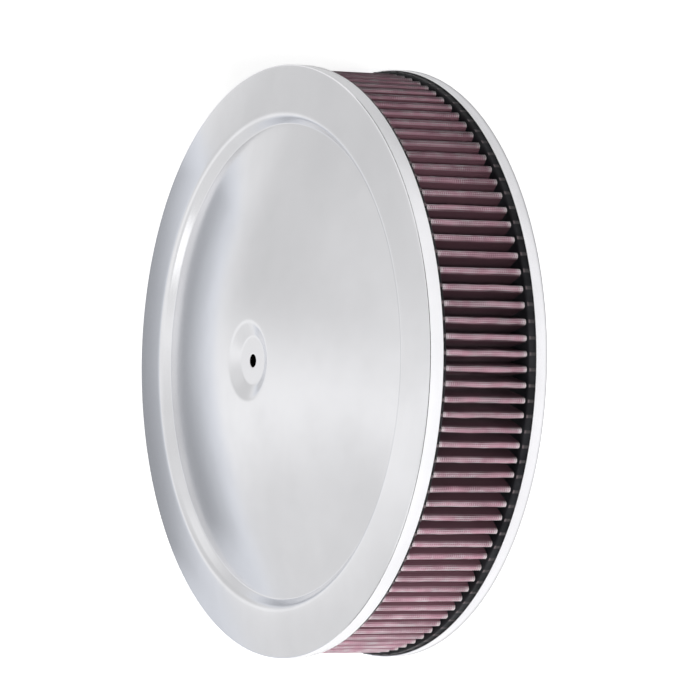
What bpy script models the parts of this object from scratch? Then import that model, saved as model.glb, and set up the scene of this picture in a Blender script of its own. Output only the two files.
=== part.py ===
"""Open-element carburetor air cleaner: lid, base pan and a pleated cotton element.

The stud axis is Z, lid up. The origin is at the middle of the base pan's underside.
Sizes are in millimetres, and objects are made in metres.
"""

import math

import bpy

MM = 0.001

# Overall sizes of the two pressings
outer_radius = 178.0
sheet = 0.9
bend_radius = 0.3
lid_skirt_height = 9.3
base_skirt_height = 7.9

# Filter element
element_height = 77.0
element_width = 25.8
cap_height = 10.8
cap_chamfer = 0.6
cap_lip_outside = 1.2
cap_lip_inside = 2.4

# Pleated pack: cotton between two wire screens
pleats = 114
cotton_thickness = 0.9
screen_thickness = 0.3
fold_inside_radius = 0.2
pack_gap = 0.25

# Gap between neighbouring pieces, and between the element and the step inside it
clearance = 0.3
step_clearance = 3.8

# Lid: sloping rim, step down, shallow dome, centre dimple and stud hole
rim_rise = 2.3
step_depth = 6.5
step_width = 3.7
step_fillet = 1.4
dome_rise = 25.7
dimple_radius = 23.6
dimple_floor_radius = 14.7
dimple_depth = 3.6
stud_hole_radius = 3.95

# Base pan: raised floor inside the element, and the neck for the carburetor's air horn
floor_rise = 6.0
floor_step_width = 4.0
floor_fillet = 2.0
neck_radius = 65.1
neck_bend_radius = 1.6
neck_lip_height = 5.0

# Gasket under the base pan's neck
gasket_width = 12.0
gasket_thickness = 3.0
gasket_inset = 2.0

# How finely round shapes are divided, and how much of a side a rounded corner may take
turn_steps = 60
dome_steps = 5
corner_share = 0.45

# Sizes that follow from those above
skirt_inside_radius = outer_radius - sheet
cap_outer_radius = skirt_inside_radius - clearance
cap_inner_radius = cap_outer_radius - element_width
step_outer_radius = cap_inner_radius - step_clearance
element_bottom = sheet + clearance
element_top = element_bottom + element_height
rim_height = element_top + clearance + sheet
rim_slope = rim_rise / (outer_radius - step_outer_radius)
pack_bottom = element_bottom + cap_height + clearance
pack_top = element_top - cap_height - clearance
pack_outer_radius = cap_outer_radius - cap_lip_outside
pack_inner_radius = cap_inner_radius + cap_lip_inside
pack_thickness = cotton_thickness + 2.0 * (screen_thickness + pack_gap)
fold_outside_radius = fold_inside_radius + pack_thickness
gasket_inner_radius = neck_radius + neck_bend_radius + gasket_inset


def clear_scene():
    """Remove whatever the file holds."""
    for old in list(bpy.data.objects):
        bpy.data.objects.remove(old, do_unlink=True)


def make_material(name, colour, roughness, metallic):
    """A Principled material with a plain finish."""
    material = bpy.data.materials.new(name)
    material.use_nodes = True
    shader = material.node_tree.nodes["Principled BSDF"]
    shader.inputs["Base Color"].default_value = (*colour, 1.0)
    shader.inputs["Roughness"].default_value = roughness
    shader.inputs["Metallic"].default_value = metallic
    material.diffuse_color = (*colour, 1.0)
    return material


def round_corner(before, corner, after, radius, steps):
    """Points of an arc that rounds a corner of an outline, limited by its shorter side."""
    to_before = (before[0] - corner[0], before[1] - corner[1])
    to_after = (after[0] - corner[0], after[1] - corner[1])
    length_before = math.hypot(*to_before)
    length_after = math.hypot(*to_after)
    way_before = (to_before[0] / length_before, to_before[1] / length_before)
    way_after = (to_after[0] / length_after, to_after[1] / length_after)
    cosine = way_before[0] * way_after[0] + way_before[1] * way_after[1]
    half = 0.5 * math.acos(max(-1.0, min(1.0, cosine)))
    radius = min(radius, corner_share * min(length_before, length_after) * math.tan(half))
    reach = radius / math.tan(half)
    start = (corner[0] + way_before[0] * reach, corner[1] + way_before[1] * reach)
    middle_way = (way_before[0] + way_after[0], way_before[1] + way_after[1])
    middle_length = math.hypot(*middle_way)
    to_centre = radius / math.sin(half) / middle_length
    centre = (corner[0] + middle_way[0] * to_centre, corner[1] + middle_way[1] * to_centre)
    turn = math.pi - 2.0 * half
    crossed = way_before[0] * way_after[1] - way_before[1] * way_after[0]
    if crossed > 0.0:
        turn = -turn
    points = []
    for step in range(steps + 1):
        angle = turn * step / steps
        across = (start[0] - centre[0], start[1] - centre[1])
        x = centre[0] + across[0] * math.cos(angle) - across[1] * math.sin(angle)
        y = centre[1] + across[0] * math.sin(angle) + across[1] * math.cos(angle)
        points.append((x, y))
    return points


def rounded_profile(corners):
    """Turn (radius, height, rounding, steps) corners into the points of a profile."""
    points = []
    for index, (radius, height, rounding, steps) in enumerate(corners):
        if steps == 0:
            points.append((radius, height))
            continue
        before = corners[index - 1][:2]
        after = corners[index + 1][:2]
        points.extend(round_corner(before, (radius, height), after, rounding, steps))
    return points


def link_profile(name, points, closed, collection):
    """An object that holds a profile in the XZ plane, as a chain of edges."""
    mesh = bpy.data.meshes.new(name)
    vertices = [(x * MM, 0.0, z * MM) for x, z in points]
    edges = [(index, index + 1) for index in range(len(points) - 1)]
    if closed:
        edges.append((len(points) - 1, 0))
    mesh.from_pydata(vertices, edges, [])
    piece = bpy.data.objects.new(name, mesh)
    collection.objects.link(piece)
    return piece


def turn_profile(piece):
    """Turn a profile around the stud axis."""
    screw = piece.modifiers.new("Turn", "SCREW")
    screw.axis = "Z"
    screw.angle = math.tau
    screw.steps = turn_steps
    screw.render_steps = turn_steps
    screw.use_merge_vertices = True
    screw.merge_threshold = 0.00001
    screw.use_smooth_shade = True


def thicken(piece, thickness, offset):
    """Give an open surface its thickness."""
    wall = piece.modifiers.new("Thickness", "SOLIDIFY")
    wall.thickness = thickness * MM
    wall.offset = offset
    wall.use_even_offset = True
    wall.use_quality_normals = True


def make_pressing(name, points, material, collection):
    """A pressed sheet: an open profile, turned, with its thickness on the inside."""
    piece = link_profile(name, points, False, collection)
    turn_profile(piece)
    thicken(piece, sheet, -1.0)
    piece.data.materials.append(material)
    return piece


def make_ring(name, points, material, collection):
    """A moulded ring: a closed profile, turned."""
    piece = link_profile(name, points, True, collection)
    turn_profile(piece)
    piece.data.materials.append(material)
    return piece


def rim_top(radius):
    """Height of the lid's sloping rim at a radius."""
    return rim_height + (outer_radius - radius) * rim_slope


def lid_profile():
    """The lid's outer surface, from the stud hole out and down to the skirt's edge."""
    step_floor_radius = step_outer_radius - step_width
    step_top = rim_top(step_outer_radius)
    step_floor = step_top - step_depth
    dome_radius = (step_floor_radius ** 2 + dome_rise ** 2) / (2.0 * dome_rise)
    dome_centre = step_floor + dome_rise - dome_radius

    def dome_height(radius):
        return dome_centre + math.sqrt(dome_radius ** 2 - radius ** 2)

    dimple_floor = dome_height(dimple_radius) - dimple_depth
    corners = [
        (stud_hole_radius, dimple_floor, 0.0, 0),
        (dimple_floor_radius, dimple_floor, 0.0, 0),
        (dimple_radius, dome_height(dimple_radius), 0.0, 0),
    ]
    for step in range(1, dome_steps):
        radius = dimple_radius + (step_floor_radius - dimple_radius) * step / dome_steps
        corners.append((radius, dome_height(radius), 0.0, 0))
    bend = bend_radius + sheet
    corners += [
        (step_floor_radius, step_floor, step_fillet, 1),
        (step_outer_radius, step_top, step_fillet, 1),
        (outer_radius, rim_height, bend, 2),
        (outer_radius, rim_height - lid_skirt_height, 0.0, 0),
    ]
    return rounded_profile(corners)


def base_profile():
    """The base pan's underside, from the skirt's edge down and in to the neck's lip."""
    seat_inner_radius = step_outer_radius + sheet
    floor_radius = seat_inner_radius - floor_step_width
    bend = bend_radius + sheet
    corners = [
        (outer_radius, base_skirt_height, 0.0, 0),
        (outer_radius, 0.0, bend, 2),
        (seat_inner_radius, 0.0, floor_fillet, 1),
        (floor_radius, floor_rise, floor_fillet, 1),
        (neck_radius, floor_rise, neck_bend_radius, 2),
        (neck_radius, floor_rise + neck_bend_radius + neck_lip_height, 0.0, 0),
    ]
    return rounded_profile(corners)


def cap_profile(low_outside, high_outside, low_inside, high_inside):
    """Section of an end cap, down its outer side and up its bore."""
    return [
        (cap_inner_radius, high_inside),
        (cap_outer_radius - cap_chamfer, high_outside),
        (cap_outer_radius, high_outside - cap_chamfer),
        (cap_outer_radius, low_outside + cap_chamfer),
        (cap_outer_radius - cap_chamfer, low_outside),
        (cap_inner_radius, low_inside),
    ]


def make_end_caps(material, collection):
    """Both moulded caps. The top one lies against the slope of the lid's rim."""
    slope_rise = (cap_outer_radius - cap_chamfer - cap_inner_radius) * rim_slope
    cap_top = element_top + (outer_radius - cap_outer_radius) * rim_slope
    top_low = element_top - cap_height
    top_points = cap_profile(top_low, cap_top, top_low, cap_top + slope_rise)
    make_ring("top_end_cap", top_points, material, collection)
    bottom_high = element_bottom + cap_height
    bottom_points = cap_profile(element_bottom, bottom_high, element_bottom, bottom_high)
    make_ring("bottom_end_cap", bottom_points, material, collection)


def pleat_outline(fold_radius):
    """Mid-line of a pleated sheet, whose outer folds have the given radius.

    Outer and inner folds are centred on two circles. The flanks are straight, and every
    sheet of the pack is parallel to the next.
    """
    inner_fold_radius = fold_inside_radius + fold_outside_radius - fold_radius
    outer_centres = pack_outer_radius - fold_outside_radius
    inner_centres = pack_inner_radius + fold_outside_radius
    half_pitch = math.pi / pleats
    inward = outer_centres - inner_centres * math.cos(half_pitch)
    sideways = inner_centres * math.sin(half_pitch)
    spacing = math.hypot(inward, sideways)
    lean = math.asin((fold_radius + inner_fold_radius) / spacing)
    flank = math.atan2(sideways, inward) - lean
    outer_half = fold_radius * math.tan(0.5 * (0.5 * math.pi - flank))
    inner_half = inner_fold_radius * math.tan(0.5 * (0.5 * math.pi - flank - half_pitch))
    folds = (
        (0.0, outer_centres + fold_radius, outer_half),
        (half_pitch, inner_centres - inner_fold_radius, inner_half),
    )
    points = []
    for pleat in range(pleats):
        for shift, radius, half in folds:
            angle = 2.0 * half_pitch * pleat + shift
            for side in (-half, half):
                x = radius * math.cos(angle) - side * math.sin(angle)
                y = radius * math.sin(angle) + side * math.cos(angle)
                points.append((x, y))
    return points


def make_pleated_sheet(name, fold_radius, thickness, material, collection):
    """A sheet folded into pleats all round: a ribbon along its outline, thickened."""
    curve = bpy.data.curves.new(name, "CURVE")
    curve.dimensions = "3D"
    curve.fill_mode = "FULL"
    curve.extrude = 0.5 * (pack_top - pack_bottom) * MM
    spline = curve.splines.new("POLY")
    outline = pleat_outline(fold_radius)
    spline.points.add(len(outline) - 1)
    for point, (x, y) in zip(spline.points, outline):
        point.co = (x * MM, y * MM, 0.0, 1.0)
    spline.use_cyclic_u = True
    piece = bpy.data.objects.new(name, curve)
    piece.location.z = 0.5 * (pack_top + pack_bottom) * MM
    collection.objects.link(piece)
    thicken(piece, thickness, 0.0)
    curve.materials.append(material)
    return piece


def make_pack(cotton, wire, collection):
    """The cotton and the wire screens on its two sides."""
    inner_fold = fold_inside_radius + 0.5 * screen_thickness
    step = 0.5 * screen_thickness + pack_gap + 0.5 * cotton_thickness
    make_pleated_sheet("inner_screen", inner_fold, screen_thickness, wire, collection)
    make_pleated_sheet("cotton_media", inner_fold + step, cotton_thickness, cotton, collection)
    make_pleated_sheet("outer_screen", inner_fold + 2.0 * step, screen_thickness, wire, collection)


def make_gasket(material, collection):
    """The flat ring that seals the neck, under the base pan's floor."""
    high = floor_rise - clearance
    low = high - gasket_thickness
    outer = gasket_inner_radius + gasket_width
    points = [
        (gasket_inner_radius, high),
        (outer, high),
        (outer, low),
        (gasket_inner_radius, low),
    ]
    make_ring("neck_gasket", points, material, collection)


def main():
    """Build every piece of the air cleaner."""
    clear_scene()
    collection = bpy.data.collections.new("air_cleaner")
    bpy.context.scene.collection.children.link(collection)
    bright = make_material("bright_plated_steel", (0.80, 0.80, 0.82), 0.22, 1.0)
    urethane = make_material("black_urethane", (0.018, 0.018, 0.020), 0.55, 0.0)
    cotton = make_material("oiled_cotton", (0.28, 0.06, 0.09), 0.85, 0.0)
    wire = make_material("aluminium_wire", (0.62, 0.58, 0.60), 0.40, 1.0)
    rubber = make_material("gasket_rubber", (0.030, 0.030, 0.032), 0.70, 0.0)
    make_pressing("lid", lid_profile(), bright, collection)
    make_pressing("base_pan", base_profile(), bright, collection)
    make_end_caps(urethane, collection)
    make_pack(cotton, wire, collection)
    make_gasket(rubber, collection)


main()
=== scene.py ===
"""Looks of an open-element carburetor air cleaner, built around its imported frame.

The lid, the base pan, the moulded caps, the pleated cotton, its wire screens and the
neck gasket are made here at fine resolution, where the frame's solids are. Sizes are in
millimetres and become metres where a mesh is made.
"""

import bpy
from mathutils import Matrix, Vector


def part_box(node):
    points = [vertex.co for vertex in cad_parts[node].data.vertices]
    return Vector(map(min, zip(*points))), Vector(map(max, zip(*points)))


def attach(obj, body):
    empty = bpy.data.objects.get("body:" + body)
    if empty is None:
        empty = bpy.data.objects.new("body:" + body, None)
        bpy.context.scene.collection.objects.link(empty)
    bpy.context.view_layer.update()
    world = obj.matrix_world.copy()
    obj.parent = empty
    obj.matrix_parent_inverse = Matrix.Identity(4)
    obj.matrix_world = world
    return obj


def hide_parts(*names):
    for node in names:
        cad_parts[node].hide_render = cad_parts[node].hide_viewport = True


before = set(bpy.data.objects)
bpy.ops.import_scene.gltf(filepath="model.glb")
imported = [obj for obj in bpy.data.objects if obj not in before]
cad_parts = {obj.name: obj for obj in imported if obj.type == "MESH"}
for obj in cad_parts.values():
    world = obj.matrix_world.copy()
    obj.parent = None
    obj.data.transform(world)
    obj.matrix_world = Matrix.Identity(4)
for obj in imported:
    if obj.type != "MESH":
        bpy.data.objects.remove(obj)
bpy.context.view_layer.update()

import math

import bpy
from bpy.props import FloatProperty, FloatVectorProperty, IntProperty, PointerProperty
from mathutils import Matrix, Vector

bl_info = {
    "name": "Round Air Cleaner",
    "version": (1, 0, 0),
    "blender": (4, 5, 0),
    "location": "View3D > Sidebar > Air Cleaner",
    "description": "Builds a round open-element carburetor air cleaner and its studio",
    "category": "Add Mesh",
}

MM = 0.001
BODY = "root"

# Heights and radii that the frame gives, in millimetres
LID_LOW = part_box("lid")[0].z / MM
LID_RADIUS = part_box("lid")[1].x / MM
BASE_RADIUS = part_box("base_pan")[1].x / MM
PACK_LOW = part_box("outer_screen")[0].z / MM
PACK_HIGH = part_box("outer_screen")[1].z / MM
PACK_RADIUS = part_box("outer_screen")[1].x / MM
CAP_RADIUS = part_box("top_end_cap")[1].x / MM
TOP_CAP_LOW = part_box("top_end_cap")[0].z / MM
TOP_CAP_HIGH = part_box("top_end_cap")[1].z / MM
BOTTOM_CAP_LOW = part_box("bottom_end_cap")[0].z / MM
BOTTOM_CAP_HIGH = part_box("bottom_end_cap")[1].z / MM
GASKET_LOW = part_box("neck_gasket")[0].z / MM
GASKET_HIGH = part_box("neck_gasket")[1].z / MM
GASKET_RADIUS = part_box("neck_gasket")[1].x / MM

# Sheet metal
SHEET = 0.9
EDGE_BEND = 1.2
EASED_SHARE = 0.22
BEND_STEPS = 6
LID_SKIRT = 9.3
BASE_SKIRT = 7.9
RIM_HEIGHT = LID_LOW + LID_SKIRT

# Lid's pressed form
STEP_RADIUS = 147.2
STEP_WIDTH = 3.7
STEP_DEPTH = 6.5
DOME_RISE = 25.7
DOME_STEPS = 26
RIM_STEPS = 6
STUD_HOLE_RADIUS = 3.95
STUD_HOLE_MARGIN = 1.2
DIMPLE_FOOT_BEND = 5.0
DIMPLE_RIM_BEND = 8.0
DOME_INNER_MARGIN = 6.0
DOME_OUTER_MARGIN = 5.0
RIM_OUTER_MARGIN = 2.0

# Base pan's pressed form
SEAT_RADIUS = STEP_RADIUS + SHEET
FLOOR_RISE = 6.0
FLOOR_STEP = 4.0
NECK_RADIUS = 65.1
NECK_BEND = 1.6
NECK_LIP = 5.0

# Neck gasket
GASKET_INSET = 2.0
GASKET_EASING = 0.5

# End caps, and the climb and trace of moulding at each fold
CAP_INNER_RADIUS = 151.0
CAP_LIP_INSIDE = 2.4
CAP_BEND_STEPS = 4
COLLAR_ROOT = 0.4
COLLAR_FOOT = 0.1
COLLAR_BACK = 0.25
COLLAR_BACK_RISE = 0.15
COLLAR_TIP = 0.18
COLLAR_SHOULDER = 0.45
TRACE_SIDES = 5
TRACE_START = 0.15
TRACE_SUNK = 0.05
TRACE_ROOT = 0.6
TRACE_BEHIND_SKIRT = 2.0

# Pleated pack
PLEATS = 114
COTTON_THICKNESS = 1.3
SCREEN_THICKNESS = 0.3
PACK_GAP = 0.05
FOLD_INSIDE = 0.2
PACK_INNER_RADIUS = CAP_INNER_RADIUS + CAP_LIP_INSIDE
PACK_THICKNESS = COTTON_THICKNESS + 2.0 * (SCREEN_THICKNESS + PACK_GAP)
FOLD_OUTSIDE = FOLD_INSIDE + PACK_THICKNESS
INNER_SCREEN_FOLD = FOLD_INSIDE + 0.5 * SCREEN_THICKNESS
COTTON_FOLD = INNER_SCREEN_FOLD + 0.5 * (SCREEN_THICKNESS + COTTON_THICKNESS) + PACK_GAP
OUTER_SCREEN_FOLD = 2.0 * COTTON_FOLD - INNER_SCREEN_FOLD
COTTON_LEVELS = 9
CROWDINGS_AROUND = 3.0
RIPPLES_AROUND = 8.0
STRAY_SCALE = 70.0
STRAY_SPREAD = 4.0
MERGE_DISTANCE = 0.004

# Edges of a three-sided wire stand this many radii out, so that it looks as wide as a round one
WIRE_SIDES = 3
WIRE_WIDENING = 1.2

# Gauze and wire at their pale ends, in the black moulding, and in painted shade down the folds and at their
# bottom
PALE_GAUZE = (0.34, 0.27, 0.29)
POTTED_GAUZE = (0.012, 0.011, 0.012)
FOLD_SHADE_GAUZE = (0.058, 0.027, 0.034)
DEEPEST_GAUZE = (0.055, 0.034, 0.040)
PALE_WIRE = (0.66, 0.65, 0.65)
POTTED_WIRE = (0.02, 0.02, 0.021)
FOLD_SHADE_WIRE = (0.058, 0.031, 0.039)
DEEPEST_WIRE = (0.055, 0.036, 0.042)

# Traces of the folds on the caps' walls, lighter for the wire showing through and a painted sheen; and the
# gasket's two tones
TRACE_BY_SKIRT = (0.030, 0.027, 0.028)
TRACE_BY_FACE = (0.070, 0.056, 0.060)
DARK_RUBBER = (0.020, 0.020, 0.021)
PALE_RUBBER = (0.050, 0.050, 0.052)

# Radii between which the painted shade at the folds' bottom begins, and how ragged the folds' ends are
BOTTOM_START = 170.0
BOTTOM_END = 160.0
END_RAGGEDNESS = 2.2

# Painted shade on the tips at one side, painted light in the folds at both: distances across, and colour
# share past them
SHADED_TIPS_START = 80.0
SHADED_TIPS_END = 135.0
SHADED_TIPS_LIGHT = 0.45
LIT_FOLDS_START = 70.0
LIT_FOLDS_END = 160.0
LIT_FOLDS_LIGHT = 2.4

# Floor: distances from the stud axis at which its light to the camera and to bright metal changes
FLOOR_SEEN_START = 140.0
FLOOR_SEEN_END = 170.0
LID_CLEAR_START = LID_RADIUS + 0.5
LID_CLEAR_END = LID_RADIUS + 3.0
NECK_CLEAR_END = NECK_RADIUS + 2.0
PAN_LIGHT_START = 70.0
PAN_LIGHT_END = 160.0
PAN_LIGHT_INSIDE = 0.62
PAN_LIGHT_OUTSIDE = 0.34
PAN_EDGE_START = 174.0
PAN_EDGE_END = 176.8

# Floor to the right and behind, which is dimmer to bright metal from here on
DIM_WAY = (0.8, 0.6, 0.0)
DIM_START = -100.0
DIM_END = 150.0
DIM_LEVEL = 0.6

# Lamps, in metres
LAMP_TARGET = (0.0, 0.0, 0.04)
KEY_LAMP_PLACE = (-0.15, -2.0, 0.75)
KEY_LAMP_SIZE = (0.4, 0.9)
SIDE_LAMP_PLACE = (-1.7, -0.5, 0.5)
SIDE_LAMP_SIZE = (0.8, 0.8)

# Softbox, in metres: half its width, and the depth and height of its foot, bend and front edge
SOFTBOX_LEVEL = 1.06
SOFTBOX_HALF_WIDTH = 1.5
SOFTBOX_FOOT = (0.72, 0.03)
SOFTBOX_BEND = (0.35, 0.67)
SOFTBOX_FRONT = (-0.35, 0.90)

# Bounds of the softbox's dimmer band and left side in metres, and the shades and levels there
BAND_LEFT = (-0.08, 0.13)
BAND_RIGHT = (0.42, 0.6)
BAND_HEIGHTS = (0.24, 0.36)
BAND_SHADES = (0.13, 0.32)
BAND_TOP_HEIGHTS = (0.5, 0.7)
BAND_TOP_LESS = 0.10
LEFT_SIDE = (-0.26, -0.09)
LEFT_SIDE_LEVELS = (0.84, 1.05)

# Low grey card behind the lid, in metres: its height at its middle, and how it rises to the left
HORIZON_PLACE = 0.20
HORIZON_HEIGHT = 0.143
HORIZON_SLOPE = 0.14
HORIZON_LEVEL_LEFT = -0.09
HORIZON_FAR_LEFT = -0.6
HORIZON_FAR_RIGHT = 0.265
HORIZON_DARK_HEIGHT = 0.076
HORIZON_DARK_RIGHT = 0.17
HORIZON_DARK_LEFT = -0.07
HORIZON_PALE_LEFT = -0.17
HORIZON_DARK = 0.38
HORIZON_PALE = 0.92
HORIZON_LEFT_PALE = 0.80
HORIZON_TINT = (0.95, 0.98, 1.04, 1.0)

# Dark flags around the object, in metres
FLAG_LEVEL = 0.03
FLAG_FRONT = -0.9
FLAG_ASIDE = 1.0
FRONT_FLAG_HEIGHT = 0.5
SIDE_FLAG_END = 0.25
SIDE_FLAG_HEIGHT = 0.34

# Bright cover that the step's left side mirrors
KEY_COVER_LEVEL = 1.6
KEY_COVER_CORNERS = (
    (-0.505, -0.043, 0.548),
    (-0.332, -0.202, 0.611),
    (-0.240, -0.042, 0.761),
    (-0.415, 0.117, 0.699),
)

# Where the photograph's camera stands, from circles fitted to the rims
PHOTO_PIXELS = 700.0
FOCAL_PIXELS = 5000.0
RIM_PIXELS = 296.73
RIM_CENTRE_PIXEL = (278.0, 361.2)
AXIS_TOWARDS_CAMERA = 0.4971
ROLL_SINE = 0.0199
SENSOR_WIDTH = 36.0


class LidSettings(bpy.types.PropertyGroup):
    """Sizes of the pressed lid."""

    rim_rise: FloatProperty(
        name="Rim Rise",
        description="How much higher the rim is at the step than at its edge, in mm",
        default=2.3,
        min=0.0,
    )
    crown: FloatProperty(
        name="Rim Crown",
        description="0 for a straight rim, 1 for one that is level at the step",
        default=0.8,
        min=0.0,
        max=1.0,
        subtype="FACTOR",
    )
    step_rounding: FloatProperty(
        name="Step Rounding",
        description="Radius of the bend from the rim into the step, in mm",
        default=6.5,
        min=0.1,
    )
    step_ease: FloatProperty(
        name="Step Ease",
        description="How much the step runs out at its top and its foot, in mm",
        default=0.8,
        min=0.0,
    )
    foot_rounding: FloatProperty(
        name="Foot Rounding",
        description="Radius of the bend from the step into the dome, in mm",
        default=1.2,
        min=0.1,
    )
    border_radius: FloatProperty(
        name="Border Radius",
        description="Radius outside which the dome is straighter, in mm",
        default=110.0,
        min=30.0,
    )
    border_curve: FloatProperty(
        name="Border Curve",
        description="Curvature of that border, as a share of the dome's",
        default=0.3,
        min=0.0,
        max=1.0,
        subtype="FACTOR",
    )
    dimple_radius: FloatProperty(
        name="Dimple Radius",
        description="Radius of the centre dimple's rim, in mm",
        default=23.6,
        min=5.0,
    )
    dimple_floor: FloatProperty(
        name="Dimple Floor Radius",
        description="Radius of the flat floor of the dimple, in mm",
        default=14.7,
        min=5.0,
    )
    dimple_depth: FloatProperty(
        name="Dimple Depth",
        description="Depth of the dimple's floor below its rim, in mm",
        default=3.6,
        min=0.0,
    )
    turn_steps: IntProperty(
        name="Turn Steps",
        description="Divisions around the stud axis",
        default=240,
        min=24,
    )


class BaseSettings(bpy.types.PropertyGroup):
    """Sizes of the base pan and its gasket."""

    bend: FloatProperty(
        name="Floor Bend",
        description="Radius of the bends between seat and floor, in mm",
        default=2.0,
        min=0.1,
    )
    turn_steps: IntProperty(
        name="Turn Steps",
        description="Divisions around the stud axis",
        default=240,
        min=24,
    )


class CapSettings(bpy.types.PropertyGroup):
    """Sizes of the moulded end caps."""

    rounding: FloatProperty(
        name="Edge Rounding",
        description="Radius of the caps' edges, in mm",
        default=0.9,
        min=0.1,
    )
    collar_height: FloatProperty(
        name="Collar Height",
        description="How far the moulding climbs up the pleats, in mm",
        default=0.4,
        min=0.1,
    )
    collar_width: FloatProperty(
        name="Collar Width",
        description="Thickness of that climb at the cap's face, in mm",
        default=0.35,
        min=0.05,
    )
    trace_width: FloatProperty(
        name="Trace Width",
        description="Width of the trace that each fold leaves on the cap's wall, in mm",
        default=3.2,
        min=0.1,
    )
    trace_height: FloatProperty(
        name="Trace Height",
        description="How far that trace stands out, in mm",
        default=0.25,
        min=0.0,
    )


class PackSettings(bpy.types.PropertyGroup):
    """Sizes of the pleated pack."""

    wire: FloatProperty(
        name="Wire Diameter",
        description="Diameter of the screens' wires, in mm",
        default=0.25,
        min=0.05,
    )
    pitch: FloatProperty(
        name="Wire Pitch",
        description="Distance from wire to wire, in mm",
        default=1.4,
        min=0.3,
    )
    turn: FloatProperty(
        name="Turn",
        description="Turns the whole ring of pleats",
        default=math.radians(-1.16),
        subtype="ANGLE",
    )
    crowding: FloatProperty(
        name="Crowding",
        description="How far the pleats crowd together and spread, three times around",
        default=math.radians(1.2),
        subtype="ANGLE",
    )
    crowding_phase: FloatProperty(
        name="Crowding Phase",
        description="Where around the axis the pleats crowd together",
        default=math.radians(132.5),
        subtype="ANGLE",
    )
    ripple: FloatProperty(
        name="Ripple",
        description="The same on a smaller scale, eight times around",
        default=math.radians(0.21),
        subtype="ANGLE",
    )
    ripple_phase: FloatProperty(
        name="Ripple Phase",
        description="Where around the axis the ripple peaks",
        default=math.radians(208.6),
        subtype="ANGLE",
    )
    wander: FloatProperty(
        name="Pleat Wander",
        description="How far single folds stray from their place, as an angle",
        default=math.radians(0.14),
        subtype="ANGLE",
    )
    # Painted shade in the folds starts inside this radius
    bright_radius: FloatProperty(
        name="Bright Radius",
        description="Radius outside which the folds are clear of painted fold shade, in mm",
        default=175.3,
        min=0.0,
    )
    # Painted shade in the folds is full inside this radius
    dark_radius: FloatProperty(
        name="Shade Radius",
        description="Radius inside which painted shade darkens the folds, in mm",
        default=173.3,
        min=0.0,
    )
    seed: FloatProperty(
        name="Seed",
        description="Picks another set of strays",
        default=4.0,
    )


class FinishSettings(bpy.types.PropertyGroup):
    """Colours of the finishes."""

    plating: FloatVectorProperty(
        name="Plating",
        description="Colour of the bright plating",
        subtype="COLOR",
        default=(0.80, 0.80, 0.82),
        min=0.0,
        max=1.0,
    )
    cotton: FloatVectorProperty(
        name="Oiled Cotton",
        description="Colour of the oiled gauze",
        subtype="COLOR",
        default=(0.26, 0.14, 0.175),
        min=0.0,
        max=1.0,
    )
    wire: FloatVectorProperty(
        name="Wire",
        description="Colour of the screens' wire",
        subtype="COLOR",
        default=(0.56, 0.55, 0.56),
        min=0.0,
        max=1.0,
    )
    urethane: FloatVectorProperty(
        name="Urethane",
        description="Colour of the moulded caps",
        subtype="COLOR",
        default=(0.005, 0.005, 0.006),
        min=0.0,
        max=1.0,
    )


class StageSettings(bpy.types.PropertyGroup):
    """Studio around the object."""

    fill: FloatProperty(
        name="Fill",
        description="Strength of the even light from all round",
        default=0.32,
        min=0.0,
    )
    key: FloatProperty(
        name="Key Power",
        description="Power of the soft lamp beside the camera, in watts",
        default=41.0,
        min=0.0,
    )
    side: FloatProperty(
        name="Side Power",
        description="Power of the lamp that grazes the pleats from one side, in watts",
        default=36.0,
        min=0.0,
    )
    floor_lift: FloatProperty(
        name="Floor Lift",
        description="Light that the camera sees on the floor besides the lamps' light",
        default=0.70,
        min=0.0,
    )
    floor_mirrored: FloatProperty(
        name="Floor Mirrored",
        description="Light that bright metal sees on the floor besides the lamps' light",
        default=0.46,
        min=0.0,
    )
    floor_bounce: FloatProperty(
        name="Floor Bounce",
        description="Light that the floor sends up to dull surfaces besides the lamps' light",
        default=0.35,
        min=0.0,
    )
    floor_size: FloatProperty(
        name="Floor Size",
        description="Side of the floor",
        default=3.0,
        unit="LENGTH",
        min=0.5,
    )


def scene_settings(context):
    """The settings that the panel shows."""
    return context.scene.air_cleaner


def link_node(tree, kind, inputs=None, **settings):
    """Add a node, set its options, and set or link its inputs by name or number."""
    node = tree.nodes.new(kind)
    for name, value in settings.items():
        setattr(node, name, value)
    for name, value in (inputs or {}).items():
        if isinstance(value, bpy.types.NodeSocket):
            tree.links.new(value, node.inputs[name])
        else:
            node.inputs[name].default_value = value
    return node


def new_material(name):
    """A material with only its Principled shader and output, and its tree."""
    material = bpy.data.materials.new(name)
    material.use_nodes = True
    tree = material.node_tree
    return material, tree, tree.nodes["Principled BSDF"]


def mix_colour(tree, factor, first, second):
    """Output socket of a colour mix."""
    node = link_node(tree, "ShaderNodeMix", data_type="RGBA")
    for socket, value in ((node.inputs[0], factor), (node.inputs[6], first), (node.inputs[7], second)):
        if isinstance(value, bpy.types.NodeSocket):
            tree.links.new(value, socket)
        elif isinstance(value, float):
            socket.default_value = value
        else:
            socket.default_value = (*value, 1.0)
    return node.outputs[2]


def map_range(tree, value, low, high, to_low, to_high):
    """Output socket of a clamped, smooth map range."""
    node = link_node(
        tree,
        "ShaderNodeMapRange",
        {"Value": value, "From Min": low, "From Max": high, "To Min": to_low, "To Max": to_high},
        interpolation_type="SMOOTHSTEP",
    )
    return node.outputs["Result"]


def noise(tree, vector, scale, detail, roughness=0.5):
    """Output socket of a noise texture's value."""
    node = link_node(
        tree,
        "ShaderNodeTexNoise",
        {"Vector": vector, "Scale": scale, "Detail": detail, "Roughness": roughness},
    )
    return node.outputs["Fac"]


def math_node(tree, operation, first, second=0.0):
    """Output socket of a math node."""
    node = link_node(tree, "ShaderNodeMath", {0: first, 1: second}, operation=operation)
    return node.outputs[0]


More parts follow.
